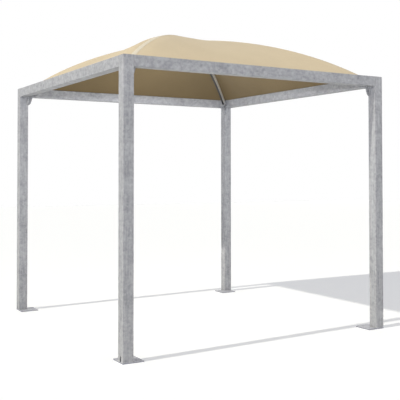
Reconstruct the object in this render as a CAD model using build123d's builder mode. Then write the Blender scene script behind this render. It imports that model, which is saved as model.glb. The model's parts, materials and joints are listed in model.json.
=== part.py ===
# Gazebo: a square open frame of galvanised steel tube on four posts, with a fabric canopy
# stretched over two crossing diagonal hoops. Millimetres, +Z up, the origin on the ground at
# the middle of the plan. The front is -Y and the left side is -X.

import os
from math import sqrt

from build123d import *

# Overall frame
frame_side = 3000
frame_height = 2640

# Square tube of the posts and beams
tube_size = 100
tube_wall = 4
tube_corner_radius = 3

# Post details
post_cap_thickness = 4
drain_notch_width = 20
drain_notch_height = 50
vent_diameter = 14
vent_drop = 10
vent_inset = 35

# Base plates, each with its post on the outer corner
plate_side = 200
plate_thickness = 12
anchor_hole_diameter = 14

# Corner gussets
gusset_beam_leg = 57
gusset_post_leg = 97
gusset_nose_reach = 33
gusset_nose_height = 25
gusset_tip = 12
gusset_thickness = 8
gusset_setback = 8

# Hoops, bent from flat-sided tube
hoop_width = 25
hoop_depth = 60
hoop_wall = 2.5
hoop_foot_inset = 87
hoop_end_clearance = 10

# Brackets in the corners of the frame, which the hoops stand on
seat_width = 60
seat_length = 150
seat_thickness = 8
seat_lift = 30
seat_web_thickness = 8
seat_web_depth = 52
seat_web_tip = 12
seat_web_setback = 10

# Canopy
canopy_thickness = 3
canopy_rise = 479
canopy_hem_width = 60
canopy_seat_clearance = 0.3
canopy_crown_gap = 2

# Strips that clamp the canopy's hem to the beams
strip_width = 40
strip_thickness = 5

# Length by which cutting shapes run past what they cut
overrun = 50

# Worked-out sizes
half_side = frame_side / 2
inner_half = half_side - tube_size
post_centre = half_side - tube_size / 2
post_length = frame_height - plate_thickness - post_cap_thickness
beam_length = frame_side - 2 * tube_size
beam_underside = frame_height - tube_size
corner_reach = sqrt(2) * inner_half
seat_top = beam_underside + seat_lift
seat_underside = seat_top - seat_thickness
hem_underside = frame_height + canopy_seat_clearance
canopy_top = hem_underside + canopy_thickness + canopy_rise
vault_radius = (inner_half**2 + canopy_rise**2) / (2 * canopy_rise)
hoop_crown = canopy_top - canopy_thickness - canopy_crown_gap
hoop_end_reach = corner_reach - hoop_width / 2 - hoop_end_clearance
hoop_foot_reach = corner_reach - hoop_foot_inset
hoop_rise = hoop_crown - hoop_depth - seat_top
hoop_inner_radius = (hoop_foot_reach**2 + hoop_rise**2) / (2 * hoop_rise)
hoop_outer_radius = hoop_inner_radius + hoop_depth
hoop_centre = hoop_crown - hoop_outer_radius

corners = {
    "front_left": (-1, -1),
    "front_right": (1, -1),
    "back_left": (-1, 1),
    "back_right": (1, 1),
}
sides = {
    "front": Vector(0, -1, 0),
    "right": Vector(1, 0, 0),
    "back": Vector(0, 1, 0),
    "left": Vector(-1, 0, 0),
}
up = Vector(0, 0, 1)

os.makedirs("parts", exist_ok=True)


def save(piece, name):
    piece.part.label = name
    export_step(piece.part, f"parts/{name}.step")


def tube_section(size, wall, corner_radius):
    """Sketches the section of a square tube: crisp outer corners and a sharp bore."""
    bore = size - 2 * wall
    RectangleRounded(size, size, corner_radius)
    Rectangle(bore, bore, mode=Mode.SUBTRACT)


def make_post(corner, side_x, side_y):
    foot = (side_x * post_centre, side_y * post_centre)
    outer_face = Plane(
        origin=(side_x * half_side, side_y * post_centre, plate_thickness),
        x_dir=(0, side_x, 0),
        z_dir=(side_x, 0, 0),
    )
    vent_height = beam_underside - vent_drop
    vent_offset = half_side - vent_inset
    vent_planes = [
        Plane(origin=(side_x * inner_half, side_y * vent_offset, vent_height), z_dir=(-side_x, 0, 0)),
        Plane(origin=(side_x * vent_offset, side_y * inner_half, vent_height), z_dir=(0, -side_y, 0)),
    ]
    with BuildPart() as post:
        with BuildSketch(Plane.XY.offset(plate_thickness)):
            with Locations(foot):
                tube_section(tube_size, tube_wall, tube_corner_radius)
        extrude(amount=post_length)
        # Round-topped drain notch at the foot of the outer side
        with BuildSketch(outer_face):
            notch_straight = drain_notch_height - drain_notch_width / 2
            Rectangle(drain_notch_width, notch_straight, align=(Align.CENTER, Align.MIN))
            with Locations((0, notch_straight)):
                Circle(drain_notch_width / 2)
        extrude(amount=-tube_wall, mode=Mode.SUBTRACT)
        # Vent hole just under the end of each beam
        with BuildSketch(*vent_planes):
            Circle(vent_diameter / 2)
        extrude(amount=-tube_wall, mode=Mode.SUBTRACT)
    save(post, f"post_{corner}")


def make_post_cap(corner, side_x, side_y):
    with BuildPart() as cap:
        with BuildSketch(Plane.XY.offset(frame_height - post_cap_thickness)):
            with Locations((side_x * post_centre, side_y * post_centre)):
                RectangleRounded(tube_size, tube_size, tube_corner_radius)
        extrude(amount=post_cap_thickness)
    save(cap, f"post_cap_{corner}")


def make_base_plate(corner, side_x, side_y):
    plate_centre = half_side - plate_side / 2
    # Anchor holes stand in the middle of the strips that the post leaves free
    free_strip = plate_side - tube_size
    near_post = half_side - tube_size / 2
    off_post = half_side - tube_size - free_strip / 2
    anchors = [
        (side_x * off_post, side_y * near_post),
        (side_x * off_post, side_y * off_post),
        (side_x * near_post, side_y * off_post),
    ]
    with BuildPart() as plate:
        with BuildSketch():
            with Locations((side_x * plate_centre, side_y * plate_centre)):
                Rectangle(plate_side, plate_side)
            with Locations(anchors):
                Circle(anchor_hole_diameter / 2, mode=Mode.SUBTRACT)
        extrude(amount=plate_thickness)
    save(plate, f"base_plate_{corner}")


def make_beam(side, outward):
    along = outward.cross(up)
    start = outward * post_centre - along * (beam_length / 2) + up * (frame_height - tube_size / 2)
    with BuildPart() as beam:
        with BuildSketch(Plane(origin=start, x_dir=outward, z_dir=along)):
            tube_section(tube_size, tube_wall, tube_corner_radius)
        extrude(amount=beam_length)
    save(beam, f"beam_{side}")


def make_gusset(name, root, inward, outward):
    """Plate in the corner under a beam: inward along the beam, thickness towards outward."""
    with BuildPart() as gusset:
        with BuildSketch(Plane(origin=root, x_dir=inward, z_dir=inward.cross(up))):
            with BuildLine():
                Polyline(
                    (0, 0),
                    (gusset_beam_leg, 0),
                    (gusset_nose_reach, gusset_nose_height - gusset_post_leg),
                    (gusset_tip, -gusset_post_leg),
                    (0, -gusset_post_leg),
                    close=True,
                )
            make_face()
        extrude(amount=gusset_thickness, dir=outward)
    save(gusset, name)


def make_gussets(corner, side_x, side_y):
    """Two plates to a corner, set back from the tubes' inner faces."""
    near_face = inner_half + gusset_setback
    front_root = (side_x * inner_half, side_y * near_face, beam_underside)
    side_root = (side_x * near_face, side_y * inner_half, beam_underside)
    across = Vector(side_x, 0, 0)
    deep = Vector(0, side_y, 0)
    make_gusset(f"gusset_{corner}_cross_bay", front_root, across * -1, deep)
    make_gusset(f"gusset_{corner}_side_bay", side_root, deep * -1, across)


def diagonal_plane(side_x, side_y):
    """Upright plane whose X runs from the middle of the plan towards a corner."""
    towards = Vector(side_x, side_y, 0).normalized()
    return Plane(origin=(0, 0, 0), x_dir=towards, z_dir=towards.cross(up))


def make_foot_plate(corner, side_x, side_y):
    """Seat plate pointed into the corner between two beams, with an upright web under it."""
    plane = diagonal_plane(side_x, side_y)
    seat_end = corner_reach - seat_length
    shoulder = corner_reach - seat_width / 2
    web_back = corner_reach - seat_web_thickness / 2
    # The post's rounded edge lies a little behind the sharp corner
    post_edge = corner_reach + (sqrt(2) - 1) * tube_corner_radius
    web_foot = seat_underside - seat_web_depth
    with BuildPart() as plate:
        with BuildSketch(Plane(origin=up * seat_underside, x_dir=plane.x_dir, z_dir=up)):
            with BuildLine():
                Polyline(
                    (corner_reach, 0),
                    (shoulder, seat_width / 2),
                    (seat_end, seat_width / 2),
                    (seat_end, -seat_width / 2),
                    (shoulder, -seat_width / 2),
                    close=True,
                )
            make_face()
        extrude(amount=seat_thickness)
        with BuildSketch(plane):
            with BuildLine():
                Polyline(
                    (seat_end + seat_web_setback, seat_underside),
                    (web_back, seat_underside),
                    (web_back, beam_underside),
                    (post_edge, beam_underside),
                    (post_edge, web_foot),
                    (post_edge - seat_web_tip, web_foot),
                    close=True,
                )
            make_face()
        extrude(amount=seat_web_thickness / 2, both=True)
    save(plate, f"hoop_foot_plate_{corner}")


def hoop_band(plane, start_reach, end_reach, inset):
    """Sketches the side of a hoop between two reaches, narrowed by the inset above and below."""
    with BuildSketch(plane) as band:
        with Locations((0, hoop_centre)):
            Circle(hoop_outer_radius - inset)
            Circle(hoop_inner_radius + inset, mode=Mode.SUBTRACT)
        with Locations((start_reach, seat_top)):
            Rectangle(
                end_reach - start_reach,
                hoop_rise + hoop_depth,
                align=(Align.MIN, Align.MIN),
                mode=Mode.INTERSECT,
            )
    return band.sketch


def make_hoop(name, side_x, side_y, start_reach):
    """Bent tube, cut level on its seats and upright beside the beams."""
    plane = diagonal_plane(side_x, side_y)
    with BuildPart() as hoop:
        extrude(hoop_band(plane, start_reach, hoop_end_reach, 0), amount=hoop_width / 2, both=True)
        extrude(
            hoop_band(plane, start_reach, hoop_end_reach, hoop_wall),
            amount=hoop_width / 2 - hoop_wall,
            both=True,
            mode=Mode.SUBTRACT,
        )
    save(hoop, name)


def make_canopy():
    """Four vaulted panels that meet along the diagonals, with a flat hem all round."""
    vault_centre = canopy_top - vault_radius
    with BuildPart() as panel:
        with BuildSketch(Plane.XZ):
            with Locations((0, vault_centre)):
                Circle(vault_radius)
            with Locations((0, vault_centre - canopy_thickness)):
                Circle(vault_radius, mode=Mode.SUBTRACT)
            with Locations((0, hem_underside)):
                Rectangle(
                    inner_half,
                    canopy_rise + overrun,
                    align=(Align.MIN, Align.MIN),
                    mode=Mode.INTERSECT,
                )
        extrude(amount=inner_half + overrun, both=True)
        split(bisect_by=Plane(origin=(0, 0, 0), z_dir=(1, 1, 0)), keep=Keep.TOP)
        split(bisect_by=Plane(origin=(0, 0, 0), z_dir=(1, -1, 0)), keep=Keep.TOP)
    hem_side = 2 * (inner_half + canopy_hem_width)
    with BuildPart() as canopy:
        with PolarLocations(0, len(sides)):
            add(panel.part)
        # Flat hem that lies on the beams and posts
        with BuildSketch(Plane.XY.offset(hem_underside)):
            Rectangle(hem_side, hem_side)
            Rectangle(2 * inner_half, 2 * inner_half, mode=Mode.SUBTRACT)
        extrude(amount=canopy_thickness)
    save(canopy, "canopy")


def make_strip(side, outward):
    along = outward.cross(up)
    strip_underside = hem_underside + canopy_thickness + canopy_seat_clearance
    middle = outward * (inner_half + canopy_hem_width / 2) + up * strip_underside
    with BuildPart() as strip:
        with BuildSketch(Plane(origin=middle, x_dir=along, z_dir=up)):
            Rectangle(beam_length, strip_width)
        extrude(amount=strip_thickness)
    save(strip, f"hem_strip_{side}")


for corner, (side_x, side_y) in corners.items():
    make_base_plate(corner, side_x, side_y)
    make_post(corner, side_x, side_y)
    make_post_cap(corner, side_x, side_y)
    make_gussets(corner, side_x, side_y)
    make_foot_plate(corner, side_x, side_y)

for side, outward in sides.items():
    make_beam(side, outward)
    make_strip(side, outward)

# One hoop runs whole over the crown, and the halves of the other butt against its sides
make_hoop("hoop_whole", 1, 1, -hoop_end_reach)
make_hoop("hoop_half_front_right", 1, -1, hoop_width / 2)
make_hoop("hoop_half_back_left", -1, 1, hoop_width / 2)
make_canopy()
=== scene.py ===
# Gazebo: galvanised steel frame with a stretched fabric canopy. Metres, in the frame of the solids:
# +Z up, the origin on the ground at the middle of the plan, the front towards -Y.

import json
import random
from math import ceil, cos, exp, pi, radians, sin, sqrt

import bpy
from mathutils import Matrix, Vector


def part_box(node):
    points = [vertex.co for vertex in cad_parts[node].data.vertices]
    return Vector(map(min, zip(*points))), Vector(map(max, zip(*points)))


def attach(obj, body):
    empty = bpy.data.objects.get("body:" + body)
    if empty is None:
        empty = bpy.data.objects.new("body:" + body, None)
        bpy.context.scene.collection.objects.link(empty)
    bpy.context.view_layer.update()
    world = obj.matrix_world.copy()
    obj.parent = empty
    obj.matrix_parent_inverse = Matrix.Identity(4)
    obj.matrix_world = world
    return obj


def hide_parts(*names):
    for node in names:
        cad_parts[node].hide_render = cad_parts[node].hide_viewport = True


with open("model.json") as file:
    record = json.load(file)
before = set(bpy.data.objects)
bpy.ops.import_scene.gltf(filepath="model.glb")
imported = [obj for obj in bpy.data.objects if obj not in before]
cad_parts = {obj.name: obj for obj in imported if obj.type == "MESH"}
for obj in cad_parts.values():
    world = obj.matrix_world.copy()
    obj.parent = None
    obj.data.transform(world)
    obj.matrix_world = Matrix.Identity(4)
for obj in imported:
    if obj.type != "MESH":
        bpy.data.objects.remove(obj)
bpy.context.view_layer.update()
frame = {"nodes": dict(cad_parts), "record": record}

# Camera, solved from the edges of the posts and beams
camera_place = (-4.1744, -7.2312, 1.5967)
camera_yaw_degrees = -30.034
camera_pitch_degrees = 1.372
focal_pixels = 741.0
image_side_pixels = 400
principal_x_pixel = 188.395
principal_y_pixel = 158.06
sensor_width_mm = 36

# Light: a low sun from the left, low soft boxes round the sides, a lamp under the canopy and a sky
# that is brightest overhead
sun_elevation_degrees = 33.5
sun_heading_degrees = 4
sun_strength = 2.2
sun_spread_degrees = 0.8
sun_colour = (1.0, 0.98, 0.87)
fill_distance = 60
fill_height = 0.5
fill_width = 28
fill_powers = {(-1, -1): 15500, (1, -1): 9500, (1, 1): 9500}
fill_colour = (0.97, 0.97, 1.0)
inner_lamp_height = 2.1
inner_lamp_radius = 0.3
inner_lamp_power = 56
inner_lamp_colour = (0.9, 0.95, 1.0)
overhead_strength = 0.95
sky_colour = (0.96, 0.97, 1.0)

# Floor
floor_side = 60
floor_colour = (0.945, 0.95, 0.965)
floor_glow = 0.19

# Canopy sheet
cloth_thickness = 0.0012
hem_thickness = 0.0028
ridge_arc_radius = 4.565
ridge_rounding = 0.158
ridge_shoulder = 0.0093
shoulder_across_share = 0.866
shoulder_spread_share = 0.1
shoulder_along_share = 0.81
panel_sag = 0.0358
sag_softness_share = 0.55
hem_fold = 0.006
hem_pucker = 0.0007
hem_pucker_reach = 0.08
corner_crease = 0.0012
corner_crease_reach = 0.5
corner_crease_pitch = 0.13
panel_rings = 56
panel_spokes = 80
hem_rings = 5

# Cloth sewn to the sheet: bands along the ridges, webbing under them and a patch on the crown
band_width = 0.052
band_thickness = 0.0011
band_start = 0.05
band_end_gap = 0.04
band_steps = 150
band_strips = 10
band_edge_power = 4
webbing_width = 0.03
webbing_thickness = 0.0016
webbing_start = 0.02
patch_radius = 0.095
patch_steps = 24
patch_edge_power = 6
turned_edge_share = 0.5
sewn_gap = 0.0002

# Stitches
stitch_pitch = 0.009
stitch_length = 0.0062
stitch_width = 0.0016
stitch_height = 0.0008
stitch_run_share = 0.25
stitch_seat_share = 0.95
band_stitch_inset = 0.007
hem_stitch_inset = 0.005

# Screws in the hem strips
screw_pitch = 0.2
screw_head_radius = 0.0065
screw_head_height = 0.0034
screw_recess_radius = 0.003
screw_recess_depth = 0.0018
screw_sides = 18
head_wall_share = 0.4
head_shoulder_share = 0.9
head_shoulder_height_share = 0.78
head_top_share = 0.68
head_top_height_share = 0.97
recess_floor_share = 0.85
washer_radius = 0.0092
washer_height = 0.0012
washer_wall_share = 0.7
washer_rim_share = 0.94

# Hoops, where they are welded
hoop_width = 0.025
hoop_depth = 0.06
hoop_foot_length = 0.0645

# Weld beads
tube_corner_radius = 0.003
weld_leg = 0.006
small_weld_leg = 0.0045
weld_cap_width = 0.009
weld_cap_height = 0.0005
weld_ripple_pitch = 0.0042
weld_ripple_share = 0.1
weld_ripple_stations = 3
weld_wobble_share = 0.04
weld_hollow_share = 0.2
weld_end_share = 0.55
weld_end_growth = 8
weld_sink = 0.0006
weld_section_steps = 5
weld_seed = 7

# Sizes of the surface patterns
zinc_cloud_size = 0.12
zinc_blot_size = 0.034
zinc_spangle_size = 0.018
zinc_grain_size = 0.0035
zinc_relief = 0.0006
weld_patch_size = 0.016
cloth_cloud_size = 0.5
cloth_slub_width = 0.004
cloth_slub_length = 0.07
cloth_weave_pitch = 0.0024
cloth_relief_depth = 0.0005
thread_fibre_size = 0.002

# Runs in the zinc, which hang down the posts and lie along the beams
zinc_run_width = 0.016
zinc_run_length = 0.16
beam_run_width = 0.03
beam_run_length = 0.06
upright_run_size = (zinc_run_width, zinc_run_width, zinc_run_length)
level_run_size = (beam_run_length, beam_run_length, beam_run_width)

# Scale at which a wave pattern has one band to a unit
one_band_scale = 2 * pi / 20

# Gloss of the cloth
cloth_sheen = 0.08
cloth_sheen_roughness = 0.5
cloth_specular_level = 0.3

# Colours, from the dark patches of a surface to its pale ones
white = (1, 1, 1)
tube_colours = ((0.245, 0.249, 0.268), (0.346, 0.35, 0.371), (0.447, 0.45, 0.468))
# Base plates: zinc paler and bluer than the tubes, painted light on the plate tops
foot_painted_light_colours = ((0.43, 0.437, 0.5), (0.56, 0.567, 0.63), (0.69, 0.695, 0.75))
# Hoops: zinc much paler than the tubes, painted light on the hoops' side faces
hoop_painted_light_colours = ((0.78, 0.78, 0.78), (0.85, 0.85, 0.845), (0.92, 0.92, 0.91))
weld_colours = ((0.27, 0.275, 0.29), (0.36, 0.36, 0.37))
screw_colours = ((0.42, 0.43, 0.44), (0.58, 0.58, 0.59))
outside_colours = ((0.575, 0.468, 0.308), (0.62, 0.508, 0.338), (0.665, 0.548, 0.368))
# Inner face of the sheet: the cloth colour darkened, painted shade under the canopy
inside_painted_shade_colours = ((0.131, 0.091, 0.041), (0.146, 0.102, 0.046), (0.161, 0.113, 0.051))
# Ridge bands and crown patch: cloth paler than the sheet, and partly a painted highlight along the
# ridges
binding_highlight_colours = ((0.65, 0.575, 0.455), (0.7, 0.625, 0.495), (0.75, 0.675, 0.535))
webbing_colours = ((0.16, 0.12, 0.07), (0.19, 0.145, 0.085), (0.22, 0.17, 0.1))
thread_colours = ((0.6, 0.53, 0.38), (0.74, 0.67, 0.52))

# Tones at which those colours lie; the range serves the screws, the thread and every roughness
zinc_tone_shares = (0.36, 0.5, 0.64)
weld_tone_shares = (0.35, 0.65)
cloth_tone_shares = (0.28, 0.46, 0.64)
tone_range_shares = (0.3, 0.7)

# Darkening and warming towards the ground, from the ground up to the tops of the beams, as shares of
# the colour under it
low_darkening_height_shares = (0, 0.5, 1)
low_darkening_shares = ((0.9, 0.893, 0.875), (0.955, 0.955, 0.95), white)

# Painted shade on undersides, as shares of their colour, and the tilts between which it sets in
tube_underside_shade_shares = (0.77, 0.765, 0.75)
# Near-black painted shade under the hoops
hoop_underside_shade_shares = (0.02, 0.02, 0.022)
underside_shade_tilt_shares = (0.4, 0.7)

# Painted shade on the upright edges of the base plates, and the heights between which it stops
plate_edge_shade_shares = (0.5, 0.5, 0.52)
edge_shade_height_shares = (0.85, 0.98)

# Sizes taken from the frame
beam_low, beam_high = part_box("beam_front")
canopy_low, canopy_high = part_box("canopy")
strip_low, strip_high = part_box("hem_strip_front")
gusset_low, gusset_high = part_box("gusset_front_left_cross_bay")
plate_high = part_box("base_plate_front_left")[1]
seat_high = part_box("hoop_foot_plate_front_left")[1]
hoop_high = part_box("hoop_whole")[1]
inner_half = -beam_high.y
half_side = -beam_low.y
beam_top = beam_high.z
beam_underside = beam_low.z
gusset_setback = -gusset_high.y - inner_half
hoop_end_reach = sqrt(2) * hoop_high.x - hoop_width / 2
hem_half = canopy_high.x
hem_bottom = canopy_low.z
hem_top = hem_bottom + hem_thickness
crown_height = canopy_high.z
canopy_rise = crown_height - hem_top
corner_reach = sqrt(2) * inner_half
panel_arc_radius = (corner_reach**2 + canopy_rise**2) / (2 * canopy_rise)
hem_slope = sqrt(2) * corner_reach / sqrt(panel_arc_radius**2 - corner_reach**2)

corners = {"front_left": (-1, -1), "front_right": (1, -1), "back_left": (-1, 1), "back_right": (1, 1)}
sides = {"front": (0, -1), "right": (1, 0), "back": (0, 1), "left": (-1, 0)}
half_hoop_corners = ("front_right", "back_left")
up = Vector((0, 0, 1))
dice = random.Random(weld_seed)


def add_camera():
    data = bpy.data.cameras.new("photo_camera")
    data.sensor_width = sensor_width_mm
    data.lens = focal_pixels / image_side_pixels * sensor_width_mm
    data.shift_x = (image_side_pixels / 2 - principal_x_pixel) / image_side_pixels
    data.shift_y = (principal_y_pixel - image_side_pixels / 2) / image_side_pixels
    camera = bpy.data.objects.new("photo_camera", data)
    camera.location = camera_place
    camera.rotation_euler = (radians(90 + camera_pitch_degrees), 0, radians(camera_yaw_degrees))
    bpy.context.collection.objects.link(camera)
    bpy.context.scene.camera = camera


def add_aimed(lamp, travel):
    """Adds a lamp whose light goes that way."""
    lamp.rotation_mode = "QUATERNION"
    lamp.rotation_quaternion = travel.to_track_quat("-Z", "Y")
    bpy.context.collection.objects.link(lamp)


def add_sun():
    data = bpy.data.lights.new("sun", "SUN")
    data.energy = sun_strength
    data.angle = radians(sun_spread_degrees)
    data.color = sun_colour
    heading = radians(sun_heading_degrees)
    elevation = radians(sun_elevation_degrees)
    level = Vector((cos(heading), sin(heading), 0))
    add_aimed(bpy.data.objects.new("sun", data), level * cos(elevation) - up * sin(elevation))


def add_soft_boxes():
    """Long low boxes of light that show neither to the eye nor in reflections."""
    for (side_x, side_y), power in fill_powers.items():
        data = bpy.data.lights.new("soft_box", "AREA")
        data.shape = "RECTANGLE"
        data.size = fill_width
        data.size_y = 2 * fill_height
        data.energy = power
        data.color = fill_colour
        outward = Vector((side_x, side_y, 0)).normalized()
        box = bpy.data.objects.new("soft_box", data)
        box.location = outward * fill_distance + up * fill_height
        box.visible_camera = False
        box.visible_glossy = False
        add_aimed(box, -outward)


def add_inner_lamp():
    """Even light on the faces that look inward."""
    data = bpy.data.lights.new("inner_lamp", "POINT")
    data.energy = inner_lamp_power
    data.shadow_soft_size = inner_lamp_radius
    data.use_shadow = False
    data.color = inner_lamp_colour
    lamp = bpy.data.objects.new("inner_lamp", data)
    lamp.location = up * inner_lamp_height
    lamp.visible_camera = False
    lamp.visible_glossy = False
    bpy.context.collection.objects.link(lamp)


def add_math(nodes, links, operation, first, second):
    """Socket with the result of an operation on two sockets or numbers."""
    node = nodes.new("ShaderNodeMath")
    node.operation = operation
    for socket, value in zip(node.inputs, (first, second)):
        if isinstance(value, (int, float)):
            socket.default_value = value
        else:
            links.new(value, socket)
    return node.outputs[0]


def seen_directly(nodes, links):
    """Socket that is 1 for rays from the eye, in mirrors and through glass, and 0 for light."""
    rays = nodes.new("ShaderNodeLightPath").outputs
    eye_or_mirror = add_math(nodes, links, "MAXIMUM", rays["Is Camera Ray"], rays["Is Glossy Ray"])
    return add_math(nodes, links, "MAXIMUM", eye_or_mirror, rays["Is Transmission Ray"])


def set_sky():
    """Light from above, strongest overhead, and plain white where the sky itself is seen."""
    world = bpy.data.worlds.new("studio")
    bpy.context.scene.world = world
    world.use_nodes = True
    nodes, links = world.node_tree.nodes, world.node_tree.links
    nodes.clear()
    light = nodes.new("ShaderNodeBackground")
    light.inputs["Color"].default_value = (*sky_colour, 1)
    direction = nodes.new("ShaderNodeSeparateXYZ")
    links.new(nodes.new("ShaderNodeTexCoord").outputs["Generated"], direction.inputs[0])
    rising = add_math(nodes, links, "MAXIMUM", direction.outputs["Z"], 0)
    squared = add_math(nodes, links, "POWER", rising, 2)
    strength = add_math(nodes, links, "MULTIPLY", squared, overhead_strength)
    links.new(strength, light.inputs["Strength"])
    backdrop = nodes.new("ShaderNodeBackground")
    backdrop.inputs["Color"].default_value = (*white, 1)
    backdrop.inputs["Strength"].default_value = 1
    mix = nodes.new("ShaderNodeMixShader")
    out = nodes.new("ShaderNodeOutputWorld")
    links.new(seen_directly(nodes, links), mix.inputs["Fac"])
    links.new(light.outputs[0], mix.inputs[1])
    links.new(backdrop.outputs[0], mix.inputs[2])
    links.new(mix.outputs[0], out.inputs["Surface"])


def floor_material():
    material = bpy.data.materials.new("floor_white")
    material.use_nodes = True
    nodes, links = material.node_tree.nodes, material.node_tree.links
    nodes.clear()
    matt = nodes.new("ShaderNodeBsdfDiffuse")
    matt.inputs["Color"].default_value = (*floor_colour, 1)
    glow = nodes.new("ShaderNodeEmission")
    strength = add_math(nodes, links, "MULTIPLY", seen_directly(nodes, links), floor_glow)
    both = nodes.new("ShaderNodeAddShader")
    out = nodes.new("ShaderNodeOutputMaterial")
    links.new(strength, glow.inputs["Strength"])
    links.new(matt.outputs[0], both.inputs[0])
    links.new(glow.outputs[0], both.inputs[1])
    links.new(both.outputs[0], out.inputs["Surface"])
    return material


def new_object(name, points, faces, materials, smooth=True):
    mesh = bpy.data.meshes.new(name)
    mesh.from_pydata([tuple(point) for point in points], [], faces)
    for material in materials:
        mesh.materials.append(material)
    mesh.polygons.foreach_set("use_smooth", [smooth] * len(faces))
    mesh.update()
    piece = bpy.data.objects.new(name, mesh)
    bpy.context.collection.objects.link(piece)
    return piece


def dress(piece):
    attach(piece, "root")


def add_floor():
    reach = floor_side / 2
    points = [(-reach, -reach, 0), (reach, -reach, 0), (reach, reach, 0), (-reach, reach, 0)]
    floor = new_object("floor", points, [(0, 1, 2, 3)], [floor_material()], smooth=False)


class Shader:
    """A material whose nodes are added one by one."""

    def __init__(self, name, roughness=0.5, metallic=0.0):
        self.material = bpy.data.materials.new(name)
        self.material.use_nodes = True
        tree = self.material.node_tree
        self.nodes, self.links = tree.nodes, tree.links
        self.surface = self.nodes["Principled BSDF"]
        self.surface.inputs["Roughness"].default_value = roughness
        self.surface.inputs["Metallic"].default_value = metallic
        self.place = self.nodes.new("ShaderNodeTexCoord").outputs["Object"]

    def stretched(self, size_x, size_y, size_z):
        """Coordinates in which a patch of that size is one unit each way."""
        mapping = self.nodes.new("ShaderNodeMapping")
        mapping.inputs["Scale"].default_value = (1 / size_x, 1 / size_y, 1 / size_z)
        self.links.new(self.place, mapping.inputs["Vector"])
        return mapping.outputs["Vector"]

    def noise(self, size, detail=3.0, roughness=0.5):
        return self.stretched_noise(size, size, size, detail, roughness)

    def stretched_noise(self, size_x, size_y, size_z, detail=3.0, roughness=0.5):
        node = self.nodes.new("ShaderNodeTexNoise")
        node.inputs["Scale"].default_value = 1
        node.inputs["Detail"].default_value = detail
        node.inputs["Roughness"].default_value = roughness
        self.links.new(self.stretched(size_x, size_y, size_z), node.inputs["Vector"])
        return node.outputs["Fac"]

    def flakes(self, size):
        """Crystals that each have a shade of their own."""
        node = self.nodes.new("ShaderNodeTexVoronoi")
        node.inputs["Scale"].default_value = 1
        self.links.new(self.stretched(size, size, size), node.inputs["Vector"])
        split = self.nodes.new("ShaderNodeSeparateColor")
        self.links.new(node.outputs["Color"], split.inputs[0])
        return split.outputs[0]

    def threads(self, pitch, direction):
        """Fine ribs side by side in one direction."""
        node = self.nodes.new("ShaderNodeTexWave")
        node.bands_direction = direction
        node.inputs["Scale"].default_value = one_band_scale
        self.links.new(self.stretched(pitch, pitch, pitch), node.inputs["Vector"])
        return node.outputs["Fac"]

    def height(self):
        split = self.nodes.new("ShaderNodeSeparateXYZ")
        self.links.new(self.place, split.inputs[0])
        return split.outputs["Z"]

    def downward(self):
        """How far the surface faces the ground, from 0 for upright faces to 1."""
        split = self.nodes.new("ShaderNodeSeparateXYZ")
        self.links.new(self.nodes.new("ShaderNodeNewGeometry").outputs["True Normal"], split.inputs[0])
        return self.math("MULTIPLY", split.outputs["Z"], -1)

    def math(self, operation, first, second):
        return add_math(self.nodes, self.links, operation, first, second)

    def blend(self, shares):
        """Sum of sockets, each times its share."""
        total = 0.0
        for socket, share in shares:
            total = self.math("ADD", self.math("MULTIPLY", socket, share), total)
        return total

    def ramp(self, factor, shares, colours):
        """Colours that follow a factor, each at its share of it."""
        node = self.nodes.new("ShaderNodeValToRGB")
        elements = node.color_ramp.elements
        while len(elements) < len(colours):
            elements.new(1)
        for element, share, colour in zip(elements, shares, colours):
            element.position = share
            element.color = (*colour, 1)
        self.links.new(factor, node.inputs["Fac"])
        return node.outputs["Color"]

    def spread(self, value, from_low, from_high, low, high):
        """A value brought from one range to another."""
        node = self.nodes.new("ShaderNodeMapRange")
        node.inputs["From Min"].default_value = from_low
        node.inputs["From Max"].default_value = from_high
        node.inputs["To Min"].default_value = low
        node.inputs["To Max"].default_value = high
        self.links.new(value, node.inputs["Value"])
        return node.outputs["Result"]

    def tinted(self, colour, tint):
        """A colour times a tint."""
        node = self.nodes.new("ShaderNodeMix")
        node.data_type = "RGBA"
        node.blend_type = "MULTIPLY"
        node.inputs["Factor"].default_value = 1
        colours = [socket for socket in node.inputs if socket.type == "RGBA"]
        self.links.new(colour, colours[0])
        self.links.new(tint, colours[1])
        return next(socket for socket in node.outputs if socket.type == "RGBA")

    def bump(self, height, strength, depth):
        node = self.nodes.new("ShaderNodeBump")
        node.inputs["Strength"].default_value = strength
        node.inputs["Distance"].default_value = depth
        self.links.new(height, node.inputs["Height"])
        self.links.new(node.outputs["Normal"], self.surface.inputs["Normal"])

    def colour(self, socket):
        self.links.new(socket, self.surface.inputs["Base Color"])

    def roughness(self, tone, in_dark, in_pale):
        """Roughness that follows the tone, from its dark patches to its pale ones."""
        follows = self.spread(tone, *tone_range_shares, in_dark, in_pale)
        self.links.new(follows, self.surface.inputs["Roughness"])


def shaded_underside(zinc, underside_shade_shares):
    """Painted shade where the surface faces the ground."""
    return zinc.ramp(zinc.downward(), underside_shade_tilt_shares, (white, underside_shade_shares))


def shaded_plate_edge(zinc):
    """Painted shade on the upright edges of a plate that lies on the ground."""
    rise = zinc.spread(zinc.height(), 0, plate_high.z, 0, 1)
    return zinc.ramp(rise, edge_shade_height_shares, (plate_edge_shade_shares, white))


def darkened_towards_ground(zinc):
    """Colour that grows darker and warmer towards the ground, and fades out at the tops of the beams.
    """
    rise = zinc.spread(zinc.height(), 0, beam_top, 0, 1)
    return zinc.ramp(rise, low_darkening_height_shares, low_darkening_shares)


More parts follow.
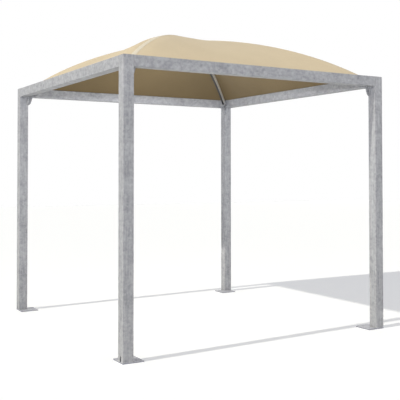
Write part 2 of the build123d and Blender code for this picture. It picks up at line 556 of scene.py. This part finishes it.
def galvanised(name, colours, run_size, underside_shade_shares=None):
    """Hot-dip zinc: clouds, blots, runs, spangle and grain, darker towards the ground, with painted
    shade either on undersides or on upright plate edges.
    """
    zinc = Shader(name, metallic=0.15)
    clouds = zinc.noise(zinc_cloud_size, detail=4, roughness=0.6)
    blots = zinc.noise(zinc_blot_size, detail=2)
    runs = zinc.stretched_noise(*run_size)
    spangle = zinc.flakes(zinc_spangle_size)
    grain = zinc.noise(zinc_grain_size, detail=2)
    tone = zinc.blend([(clouds, 0.24), (blots, 0.25), (runs, 0.33), (spangle, 0.09), (grain, 0.09)])
    low_darkened_zinc = zinc.tinted(zinc.ramp(tone, zinc_tone_shares, colours), darkened_towards_ground(zinc))
    # Painted shade: on surfaces facing the ground, or on a base plate's upright edges
    painted_shade = shaded_underside(zinc, underside_shade_shares) if underside_shade_shares else shaded_plate_edge(zinc)
    zinc.colour(zinc.tinted(low_darkened_zinc, painted_shade))
    zinc.roughness(tone, in_dark=0.62, in_pale=0.46)
    relief = zinc.blend([(spangle, 0.3), (grain, 0.5), (clouds, 0.2)])
    zinc.bump(relief, strength=0.25, depth=zinc_relief)
    return zinc.material


# Zinc for posts and beams, with painted shade on their undersides
def post_zinc():
    return galvanised("galvanised_tube", tube_colours, upright_run_size, tube_underside_shade_shares)


def beam_zinc():
    return galvanised("galvanised_beam_painted_shade", tube_colours, level_run_size, tube_underside_shade_shares)


# Pale, bluish zinc that paints light on the plate tops, with painted shade on their upright edges
def foot_zinc():
    return galvanised("galvanised_foot_painted_light_and_shade", foot_painted_light_colours, upright_run_size)


# Pale zinc that paints light on the hoops' sides, with near-black painted shade on their undersides
def hoop_zinc():
    return galvanised("galvanised_hoop_painted_light_and_shade", hoop_painted_light_colours, upright_run_size, hoop_underside_shade_shares)


def weld_metal():
    bead = Shader("weld_zinc", metallic=0.22)
    patches = bead.noise(weld_patch_size)
    grain = bead.noise(zinc_grain_size, detail=2)
    tone = bead.blend([(patches, 0.6), (grain, 0.4)])
    bead.colour(bead.ramp(tone, weld_tone_shares, weld_colours))
    bead.roughness(tone, in_dark=0.6, in_pale=0.45)
    bead.bump(tone, strength=0.2, depth=zinc_relief)
    return bead.material


def screw_metal():
    steel = Shader("screw_steel", metallic=0.85)
    tone = steel.noise(zinc_spangle_size)
    steel.colour(steel.ramp(tone, tone_range_shares, screw_colours))
    steel.roughness(tone, in_dark=0.28, in_pale=0.42)
    return steel.material


def coated_cloth(name, colours):
    """Woven polyester with a matt coating, faintly cloudy, with slubs and its weave as relief."""
    cloth = Shader(name)
    cloth.surface.inputs["Sheen Weight"].default_value = cloth_sheen
    cloth.surface.inputs["Sheen Roughness"].default_value = cloth_sheen_roughness
    cloth.surface.inputs["Specular IOR Level"].default_value = cloth_specular_level
    clouds = cloth.noise(cloth_cloud_size, detail=3)
    warp_slubs = cloth.stretched_noise(cloth_slub_width, cloth_slub_length, cloth_slub_length, detail=2)
    weft_slubs = cloth.stretched_noise(cloth_slub_length, cloth_slub_width, cloth_slub_length, detail=2)
    warp = cloth.threads(cloth_weave_pitch, "X")
    weft = cloth.threads(cloth_weave_pitch, "Y")
    weave = cloth.math("MULTIPLY", warp, weft)
    tone = cloth.blend([(clouds, 0.4), (warp_slubs, 0.22), (weft_slubs, 0.22), (weave, 0.16)])
    cloth.colour(cloth.ramp(tone, cloth_tone_shares, colours))
    cloth.roughness(tone, in_dark=0.78, in_pale=0.68)
    relief = cloth.blend([(weave, 0.6), (warp_slubs, 0.2), (weft_slubs, 0.2)])
    cloth.bump(relief, strength=0.22, depth=cloth_relief_depth)
    return cloth.material


def thread_material():
    thread = Shader("sewing_thread", roughness=0.6)
    tone = thread.noise(thread_fibre_size, detail=1)
    thread.colour(thread.ramp(tone, tone_range_shares, thread_colours))
    return thread.material


def rounded_largest(first, second, width):
    """The larger of two numbers, on a curve that rounds off where they are nearly the same."""
    return (first + second + sqrt((first - second)**2 + width**2)) / 2


def eased_largest(first, second, width):
    """The larger of two numbers, eased only where they differ by less than the width."""
    short = max(width - abs(first - second), 0)
    return max(first, second) + short**2 / (4 * width)


def arc_height(radius, reach):
    """Height of an arc through the crown, at a reach along both sides of the plan."""
    return crown_height - radius + sqrt(radius**2 - 2 * reach**2)


def shoulder_height(share, across):
    """Fullness of the sheet beside its ridges, most of it well down towards the corners."""
    power = shoulder_along_share / (1 - shoulder_along_share)
    full = shoulder_along_share**power * (1 - shoulder_along_share)
    along = share**power * (1 - share) / full
    off_middle = (across - shoulder_across_share) / shoulder_spread_share
    return ridge_shoulder * along * exp(-off_middle**2)


def panel_height(x, y):
    """Height of the outer face between the beams: an arc along the ridges, slacker between them."""
    far, near = max(abs(x), abs(y)), min(abs(x), abs(y))
    reach = rounded_largest(far, near, ridge_rounding) - ridge_rounding / 2 * (1 - far / inner_half)
    share = min(reach / inner_half, 1)
    ridge = arc_height(ridge_arc_radius, reach)
    middle = arc_height(panel_arc_radius, reach) - panel_sag * 4 * share * (1 - share)
    across = near / far if far > 0 else 1
    soft = sag_softness_share
    on_ridge = (sqrt(across**2 + soft**2) - soft) / (sqrt(1 + soft**2) - soft)
    return middle + (ridge - middle) * on_ridge + shoulder_height(share, across)


def cloth_relief(x, y):
    """Small puckers between the screws along the hem, and creases that fan from the corners."""
    far, near = max(abs(x), abs(y)), min(abs(x), abs(y))
    from_hem = max(inner_half - far, 0)
    near_hem = max(1 - from_hem / hem_pucker_reach, 0)
    pucker = hem_pucker * near_hem**2 * cos(2 * pi * near / screw_pitch)
    from_corner = sqrt(from_hem**2 + (inner_half - near)**2)
    off_ridge = (far - near) / sqrt(2)
    near_corner = max(1 - from_corner / corner_crease_reach, 0)
    crease = corner_crease * near_corner * cos(2 * pi * off_ridge / corner_crease_pitch)
    return pucker + crease * (1 - near_hem)


def sheet_top(x, y):
    """Height of the outer face anywhere, with the panels turned flat into the hem."""
    far = max(abs(x), abs(y))
    over = max(far - inner_half, 0)
    inward = inner_half / far if over > 0 else 1
    sloping = panel_height(x * inward, y * inward) + cloth_relief(x * inward, y * inward)
    return eased_largest(sloping - hem_slope * over, hem_top, hem_fold)


def sheet_thickness(x, y):
    far = max(abs(x), abs(y))
    folded = min(max((far - inner_half) / hem_fold + 1, 0), 1)
    return cloth_thickness + (hem_thickness - cloth_thickness) * folded


def sheet_point(x, y, lift=0.0):
    """Point off the outer face by a lift along its normal, and that normal."""
    step = cloth_thickness
    slope_x = (sheet_top(x + step, y) - sheet_top(x - step, y)) / (2 * step)
    slope_y = (sheet_top(x, y + step) - sheet_top(x, y - step)) / (2 * step)
    normal = Vector((-slope_x, -slope_y, 1)).normalized()
    return Vector((x, y, sheet_top(x, y))) + normal * lift, normal


def sheet_rings():
    """Reaches of the square rings of the sheet, out to the cut edge of the hem."""
    rings = [inner_half * ring / panel_rings for ring in range(1, panel_rings)]
    rings += [inner_half - hem_fold, inner_half, inner_half + hem_fold]
    hem_step = (hem_half - inner_half - hem_fold) / hem_rings
    return rings + [inner_half + hem_fold + hem_step * ring for ring in range(1, hem_rings + 1)]


def ring_points(reach):
    """Plan points round a square ring, closest together at its corners."""
    spots = []
    for side_x, side_y in sides.values():
        along_x, along_y = -side_y, side_x
        for spoke in range(panel_spokes):
            across = -cos(pi * spoke / panel_spokes)
            spots.append((reach * (side_x + along_x * across), reach * (side_y + along_y * across)))
    return spots


def make_canopy(outside, inside):
    """One sheet over the whole frame: its outer face, its inner face and the cut edge of the hem."""
    plan = [(0.0, 0.0)]
    for reach in sheet_rings():
        plan += ring_points(reach)
    round_count = len(sides) * panel_spokes
    ring_count = len(sheet_rings())
    outer = [Vector((x, y, sheet_top(x, y))) for x, y in plan]
    inner = [point - up * sheet_thickness(point.x, point.y) for point in outer]
    below = len(outer)
    outer_faces = []
    for step in range(round_count):
        following = (step + 1) % round_count
        outer_faces.append((0, 1 + step, 1 + following))
        for ring in range(ring_count - 1):
            here, further = 1 + ring * round_count, 1 + (ring + 1) * round_count
            outer_faces.append((here + step, further + step, further + following, here + following))
    inner_faces = [tuple(below + corner for corner in reversed(face)) for face in outer_faces]
    last = 1 + (ring_count - 1) * round_count
    edge_faces = []
    for step in range(round_count):
        here, following = last + step, last + (step + 1) % round_count
        edge_faces.append((here, below + here, below + following, following))
    faces = outer_faces + inner_faces + edge_faces
    sheet = new_object("canopy_sheet", outer + inner, faces, [outside, inside])
    for face in sheet.data.polygons[len(outer_faces):len(outer_faces) + len(inner_faces)]:
        face.material_index = 1
    return sheet, sum(face_area(outer, face) for face in outer_faces)


def face_area(points, face):
    first = points[face[0]]
    area = 0
    for second, third in zip(face[1:-1], face[2:]):
        area += (points[second] - first).cross(points[third] - first).length / 2
    return area


def make_slab(name, upper, lower, material):
    """Closed thin piece between two grids of points of the same size."""
    rows, columns = len(upper), len(upper[0])
    points = [point for row in upper for point in row] + [point for row in lower for point in row]
    below = rows * columns
    faces = []
    for row in range(rows - 1):
        for column in range(columns - 1):
            here, further = row * columns + column, (row + 1) * columns + column
            face = (here, further, further + 1, here + 1)
            faces.append(face)
            faces.append(tuple(below + corner for corner in reversed(face)))
    edge = list(range(columns))
    edge += [row * columns + columns - 1 for row in range(1, rows)]
    edge += [(rows - 1) * columns + column for column in range(columns - 2, -1, -1)]
    edge += [row * columns for row in range(rows - 2, 0, -1)]
    for here, following in zip(edge, edge[1:] + edge[:1]):
        faces.append((here, following, below + following, below + here))
    return new_object(name, points, faces, [material])


def ridge_spot(corner, reach, across):
    """Plan point at a reach down a ridge, and off it to one side."""
    side_x, side_y = corner
    x = (side_x * reach - side_y * across) / sqrt(2)
    y = (side_y * reach + side_x * across) / sqrt(2)
    return x, y


def ridge_strip(name, corner, material, start, width, low_lift, high_lift):
    """Strip of cloth that follows a ridge between two lifts, thinner at its turned edges."""
    upper, lower = [], []
    end = corner_reach - band_end_gap
    for step in range(band_steps + 1):
        reach = start + (end - start) * step / band_steps
        top_row, bottom_row = [], []
        for strip in range(band_strips + 1):
            share = 2 * strip / band_strips - 1
            spot = ridge_spot(corner, reach, share * width / 2)
            crowned = (high_lift - low_lift) * (1 - turned_edge_share * share**band_edge_power)
            top_row.append(sheet_point(*spot, low_lift + crowned)[0])
            bottom_row.append(sheet_point(*spot, low_lift)[0])
        upper.append(top_row)
        lower.append(bottom_row)
    return make_slab(name, upper, lower, material)


def make_ridge_band(name, corner, material):
    """Band sewn on the outside of the sheet."""
    high_lift = sewn_gap + band_thickness
    return ridge_strip(name, corner, material, band_start, band_width, sewn_gap, high_lift)


def make_ridge_webbing(name, corner, material):
    """Webbing under the sheet, which lies on the hoop."""
    high_lift = -cloth_thickness - sewn_gap
    low_lift = high_lift - webbing_thickness
    return ridge_strip(name, corner, material, webbing_start, webbing_width, low_lift, high_lift)


def make_crown_patch(material):
    """Round patch of cloth over the ends of the ridge bands."""
    low_lift = 2 * sewn_gap + band_thickness
    upper, lower = [], []
    for row in range(patch_steps + 1):
        row_share = 2 * row / patch_steps - 1
        top_row, bottom_row = [], []
        for column in range(patch_steps + 1):
            column_share = 2 * column / patch_steps - 1
            x = patch_radius * row_share * sqrt(1 - column_share**2 / 2)
            y = patch_radius * column_share * sqrt(1 - row_share**2 / 2)
            edge = max(abs(column_share), abs(row_share))**patch_edge_power
            crowned = band_thickness * (1 - turned_edge_share * edge)
            top_row.append(sheet_point(x, y, low_lift + crowned)[0])
            bottom_row.append(sheet_point(x, y, low_lift)[0])
        upper.append(top_row)
        lower.append(bottom_row)
    return make_slab("crown_patch", upper, lower, material)


def add_stitch(points, faces, start_spot, end_spot, lift):
    """Adds one stitch between two plan points: a small ridged stroke lying on the cloth."""
    start, normal = sheet_point(*start_spot, lift)
    end = sheet_point(*end_spot, lift)[0]
    sideways = (end - start).cross(normal).normalized() * (stitch_width / 2)
    rise = normal * stitch_height
    run = (end - start) * stitch_run_share
    first = len(points)
    points += [start - sideways, start + sideways, end + sideways, end - sideways]
    points += [start + run + rise, end - run + rise]
    faces += [
        (first, first + 1, first + 4),
        (first + 2, first + 3, first + 5),
        (first + 1, first + 2, first + 5, first + 4),
        (first + 3, first, first + 4, first + 5),
        (first + 3, first + 2, first + 1, first),
    ]


def make_ridge_stitching(material):
    """Two rows of stitches along each ridge band."""
    points, faces = [], []
    start = patch_radius + stitch_pitch
    end = corner_reach - band_end_gap - stitch_pitch
    lift = sewn_gap + band_thickness * stitch_seat_share
    for corner in corners.values():
        for across in (band_stitch_inset - band_width / 2, band_width / 2 - band_stitch_inset):
            for step in range(int((end - start) / stitch_pitch)):
                reach = start + step * stitch_pitch
                start_spot = ridge_spot(corner, reach, across)
                end_spot = ridge_spot(corner, reach + stitch_length, across)
                add_stitch(points, faces, start_spot, end_spot, lift)
    return new_object("ridge_stitching", points, faces, [material], smooth=False)


def make_crown_stitching(material):
    """Ring of stitches round the crown patch."""
    points, faces = [], []
    radius = patch_radius - band_stitch_inset
    count = int(2 * pi * radius / stitch_pitch)
    lift = 2 * sewn_gap + band_thickness * (1 + stitch_seat_share)
    for step in range(count):
        turn = 2 * pi * step / count
        ahead = turn + stitch_length / radius
        start_spot = (radius * cos(turn), radius * sin(turn))
        end_spot = (radius * cos(ahead), radius * sin(ahead))
        add_stitch(points, faces, start_spot, end_spot, lift)
    return new_object("crown_stitching", points, faces, [material], smooth=False)


def make_hem_stitching(material):
    """Row of stitches along the outer edge of the hem, beside the clamping strips."""
    points, faces = [], []
    line = hem_half - hem_stitch_inset
    count = int(2 * line / stitch_pitch)
    for side_x, side_y in sides.values():
        along_x, along_y = -side_y, side_x
        for step in range(1, count - 1):
            here = step * stitch_pitch - line
            ahead = here + stitch_length
            start_spot = (side_x * line + along_x * here, side_y * line + along_y * here)
            end_spot = (side_x * line + along_x * ahead, side_y * line + along_y * ahead)
            add_stitch(points, faces, start_spot, end_spot, 0)
    return new_object("hem_stitching", points, faces, [material], smooth=False)


def add_turned(points, faces, base, profile, count):
    """Adds a turned form on an upright axis: (radius, height) pairs from the rim to the middle."""
    first = len(points)
    for radius, height in profile[:-1]:
        for step in range(count):
            turn = 2 * pi * step / count
            points.append(base + Vector((radius * cos(turn), radius * sin(turn), height)))
    points.append(base + up * profile[-1][1])
    middle = len(points) - 1
    rings = len(profile) - 1
    last = first + (rings - 1) * count
    for step in range(count):
        following = (step + 1) % count
        for ring in range(rings - 1):
            here, further = first + ring * count, first + (ring + 1) * count
            faces.append((here + step, here + following, further + following, further + step))
        faces.append((last + step, last + following, middle))
    faces.append(tuple(first + step for step in reversed(range(count))))


def screw_profile():
    """Pan head with a round recess, on a washer, from the underside out and up."""
    wall = washer_height + screw_head_height * head_wall_share
    shoulder = washer_height + screw_head_height * head_shoulder_height_share
    top = washer_height + screw_head_height
    recess_floor = top - screw_recess_depth
    return [
        (washer_radius, 0),
        (washer_radius, washer_height * washer_wall_share),
        (washer_radius * washer_rim_share, washer_height),
        (screw_head_radius, washer_height),
        (screw_head_radius, wall),
        (screw_head_radius * head_shoulder_share, shoulder),
        (screw_head_radius * head_top_share, top * head_top_height_share),
        (screw_recess_radius, top),
        (screw_recess_radius * recess_floor_share, recess_floor),
        (0, recess_floor),
    ]


def make_screws(material):
    """Row of screws along the middle of each hem strip."""
    points, faces = [], []
    strip_middle = -(strip_low.y + strip_high.y) / 2
    half_count = int(strip_high.x / screw_pitch)
    for side_x, side_y in sides.values():
        along = Vector((-side_y, side_x, 0))
        outward = Vector((side_x, side_y, 0))
        for step in range(half_count * 2):
            offset = (step + 0.5 - half_count) * screw_pitch
            base = outward * strip_middle + along * offset + up * strip_high.z
            add_turned(points, faces, base, screw_profile(), screw_sides)
    return new_object("hem_strip_screws", points, faces, [material])


def fillet_section(first_leg, second_leg, size):
    """Cross-section of a bead in an inside corner, from one face round to the other."""
    section = [-(first_leg + second_leg) * weld_sink]
    for step in range(weld_section_steps + 1):
        turn = pi / 2 * step / weld_section_steps
        hollowed = 1 - weld_hollow_share * sin(2 * turn)
        section.append((first_leg * cos(turn) + second_leg * sin(turn)) * (size * hollowed))
    return section


def cap_section(across, outward, rise):
    """Cross-section of a low bead that bridges the groove between two flush faces."""
    half = weld_cap_width / 2
    shares = (-1, -0.6, 0, 0.6, 1)
    top = [across * (half * share) + outward * (rise * (1 - share**2)) for share in shares]
    sunk = outward * -weld_sink
    return top + [across * half + sunk, across * -half + sunk]


def add_bead(points, faces, start, end, section_at):
    """Adds a rippled bead along a straight joint, closed at both ends."""
    length = (end - start).length
    ripples = max(ceil(length / weld_ripple_pitch), 2)
    stations = ripples * weld_ripple_stations
    first = len(points)
    width = len(section_at(1))
    for station in range(stations + 1):
        share = station / stations
        ripple = 1 + weld_ripple_share * sin(2 * pi * share * ripples)
        ripple += dice.uniform(-weld_wobble_share, weld_wobble_share)
        taper = min(1, weld_end_share + weld_end_growth * min(share, 1 - share))
        points += [start + (end - start) * share + spot for spot in section_at(ripple * taper)]
    for station in range(stations):
        here, further = first + station * width, first + (station + 1) * width
        for spot in range(width):
            following = (spot + 1) % width
            faces.append((here + spot, further + spot, further + following, here + following))
    faces.append(tuple(first + spot for spot in range(width)))
    last = first + stations * width
    faces.append(tuple(last + spot for spot in reversed(range(width))))


def add_fillet(points, faces, start, end, first_leg, second_leg, size=weld_leg):
    """Adds a bead in an inside corner, turned so that its faces point outward."""
    if first_leg.cross(second_leg).dot(end - start) > 0:
        first_leg, second_leg = second_leg, first_leg

    def section_at(ripple):
        return fillet_section(first_leg, second_leg, size * ripple)

    add_bead(points, faces, start, end, section_at)


def add_cap(points, faces, start, end, across, outward):
    """Adds a low bead on flush faces, turned so that its faces point outward."""
    if across.cross(outward).dot(end - start) < 0:
        across = -across

    def section_at(ripple):
        return cap_section(across, outward, weld_cap_height * ripple)

    add_bead(points, faces, start, end, section_at)


def make_foot_welds(material):
    """Beads along the two inner faces of each post on its base plate."""
    points, faces = [], []
    near = tube_corner_radius
    far = half_side - inner_half - tube_corner_radius
    for side_x, side_y in corners.values():
        across, deep = Vector((side_x, 0, 0)), Vector((0, side_y, 0))
        inner = (across + deep) * inner_half + up * plate_high.z
        add_fillet(points, faces, inner + across * near, inner + across * far, -deep, up)
        add_fillet(points, faces, inner + deep * near, inner + deep * far, -across, up)
    return new_object("welds_post_feet", points, faces, [material])


def make_beam_welds(material):
    """Ground beads on the flush faces where each beam meets a post, and a fillet under the beam."""
    points, faces = [], []
    groove = inner_half + tube_corner_radius / 2
    low, high = up * (beam_underside + tube_corner_radius), up * (beam_top - tube_corner_radius)
    for side_x, side_y in sides.values():
        outward = Vector((side_x, side_y, 0))
        along = Vector((-side_y, side_x, 0))
        for end in (-1, 1):
            joint = outward * half_side + along * (end * groove)
            add_cap(points, faces, joint + low, joint + high, along, outward)
            corner = along * (end * inner_half) + up * beam_underside
            near = corner + outward * (inner_half + 2 * gusset_setback + small_weld_leg)
            far = corner + outward * (half_side - tube_corner_radius)
            add_fillet(points, faces, near, far, along * -end, -up)
    return new_object("welds_beam_ends", points, faces, [material])


def make_gusset_welds(material):
    """Beads on the outer face of each gusset, against its beam and its post."""
    points, faces = [], []
    beam_leg = gusset_high.x - gusset_low.x
    post_leg = gusset_high.z - gusset_low.z
    thickness = gusset_high.y - gusset_low.y
    for side_x, side_y in corners.values():
        across, deep = Vector((side_x, 0, 0)), Vector((0, side_y, 0))
        for along, outward in ((across, deep), (deep, across)):
            root = along * inner_half + outward * (inner_half + gusset_setback + thickness)
            root += up * beam_underside
            beam_end = root - along * (beam_leg - small_weld_leg)
            post_end = root - up * (post_leg - small_weld_leg)
            add_fillet(points, faces, root, beam_end, outward, -up, small_weld_leg)
            add_fillet(points, faces, root, post_end, outward, -along, small_weld_leg)
    return new_object("welds_gussets", points, faces, [material])


def make_hoop_welds(material):
    """Beads beside each hoop's foot on its seat, and round the half hoops' ends at the crown."""
    points, faces = [], []
    half_width = hoop_width / 2
    foot_start = hoop_end_reach - hoop_foot_length + small_weld_leg
    crown_top, crown_bottom = hoop_high.z - small_weld_leg, hoop_high.z - hoop_depth
    for name, (side_x, side_y) in corners.items():
        towards = Vector((side_x, side_y, 0)).normalized()
        for sideways in (towards.cross(up), up.cross(towards)):
            side_line = sideways * half_width + up * seat_high.z
            foot, heel = towards * foot_start + side_line, towards * hoop_end_reach + side_line
            add_fillet(points, faces, foot, heel, sideways, up, small_weld_leg)
            if name in half_hoop_corners:
                joint = towards * half_width + sideways * half_width
                low, high = joint + up * crown_bottom, joint + up * crown_top
                add_fillet(points, faces, low, high, sideways, towards, small_weld_leg)
    return new_object("welds_hoops", points, faces, [material])


def dress_frame():
    """Gives each steel piece of the frame its finish."""
    post, beam, foot, hoop = post_zinc(), beam_zinc(), foot_zinc(), hoop_zinc()
    for subpart in frame["record"]["subparts"]:
        name, slot = subpart["node"], subpart["material_slot"]
        if slot == "canopy_fabric":
            continue
        finish = post
        if slot == "hoop_tube":
            finish = hoop
        elif name.startswith("base_plate"):
            finish = foot
        elif name.startswith("beam"):
            finish = beam
        node = frame["nodes"][name]
        node.data.materials.clear()
        node.data.materials.append(finish)


def dress_canopy():
    """Adds the sheet with what is sewn to it, in place of the plain canopy."""
    outside = coated_cloth("canopy_outside", outside_colours)
    # The inner face is the cloth darkened into painted shade
    inside = coated_cloth("canopy_inside_painted_shade", inside_painted_shade_colours)
    # The bands and patch are paler cloth, partly a painted highlight along the ridges
    binding = coated_cloth("canopy_binding_painted_highlight", binding_highlight_colours)
    webbing = coated_cloth("canopy_webbing", webbing_colours)
    thread = thread_material()
    sheet, cut_area = make_canopy(outside, inside)
    dress(sheet)
    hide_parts("canopy")
    sewn = [make_crown_patch(binding), make_crown_stitching(thread)]
    sewn += [make_ridge_stitching(thread), make_hem_stitching(thread)]
    for name, corner in corners.items():
        sewn.append(make_ridge_band(f"ridge_band_{name}", corner, binding))
        sewn.append(make_ridge_webbing(f"ridge_webbing_{name}", corner, webbing))
    for piece in sewn:
        dress(piece)


def add_fasteners():
    """Adds the weld beads and the screws."""
    weld = weld_metal()
    for make_welds in (make_foot_welds, make_beam_welds, make_gusset_welds, make_hoop_welds):
        dress(make_welds(weld))
    dress(make_screws(screw_metal()))


bpy.context.scene.view_settings.view_transform = "Standard"
add_camera()
add_sun()
add_soft_boxes()
add_inner_lamp()
set_sky()
add_floor()
dress_frame()
dress_canopy()
add_fasteners()
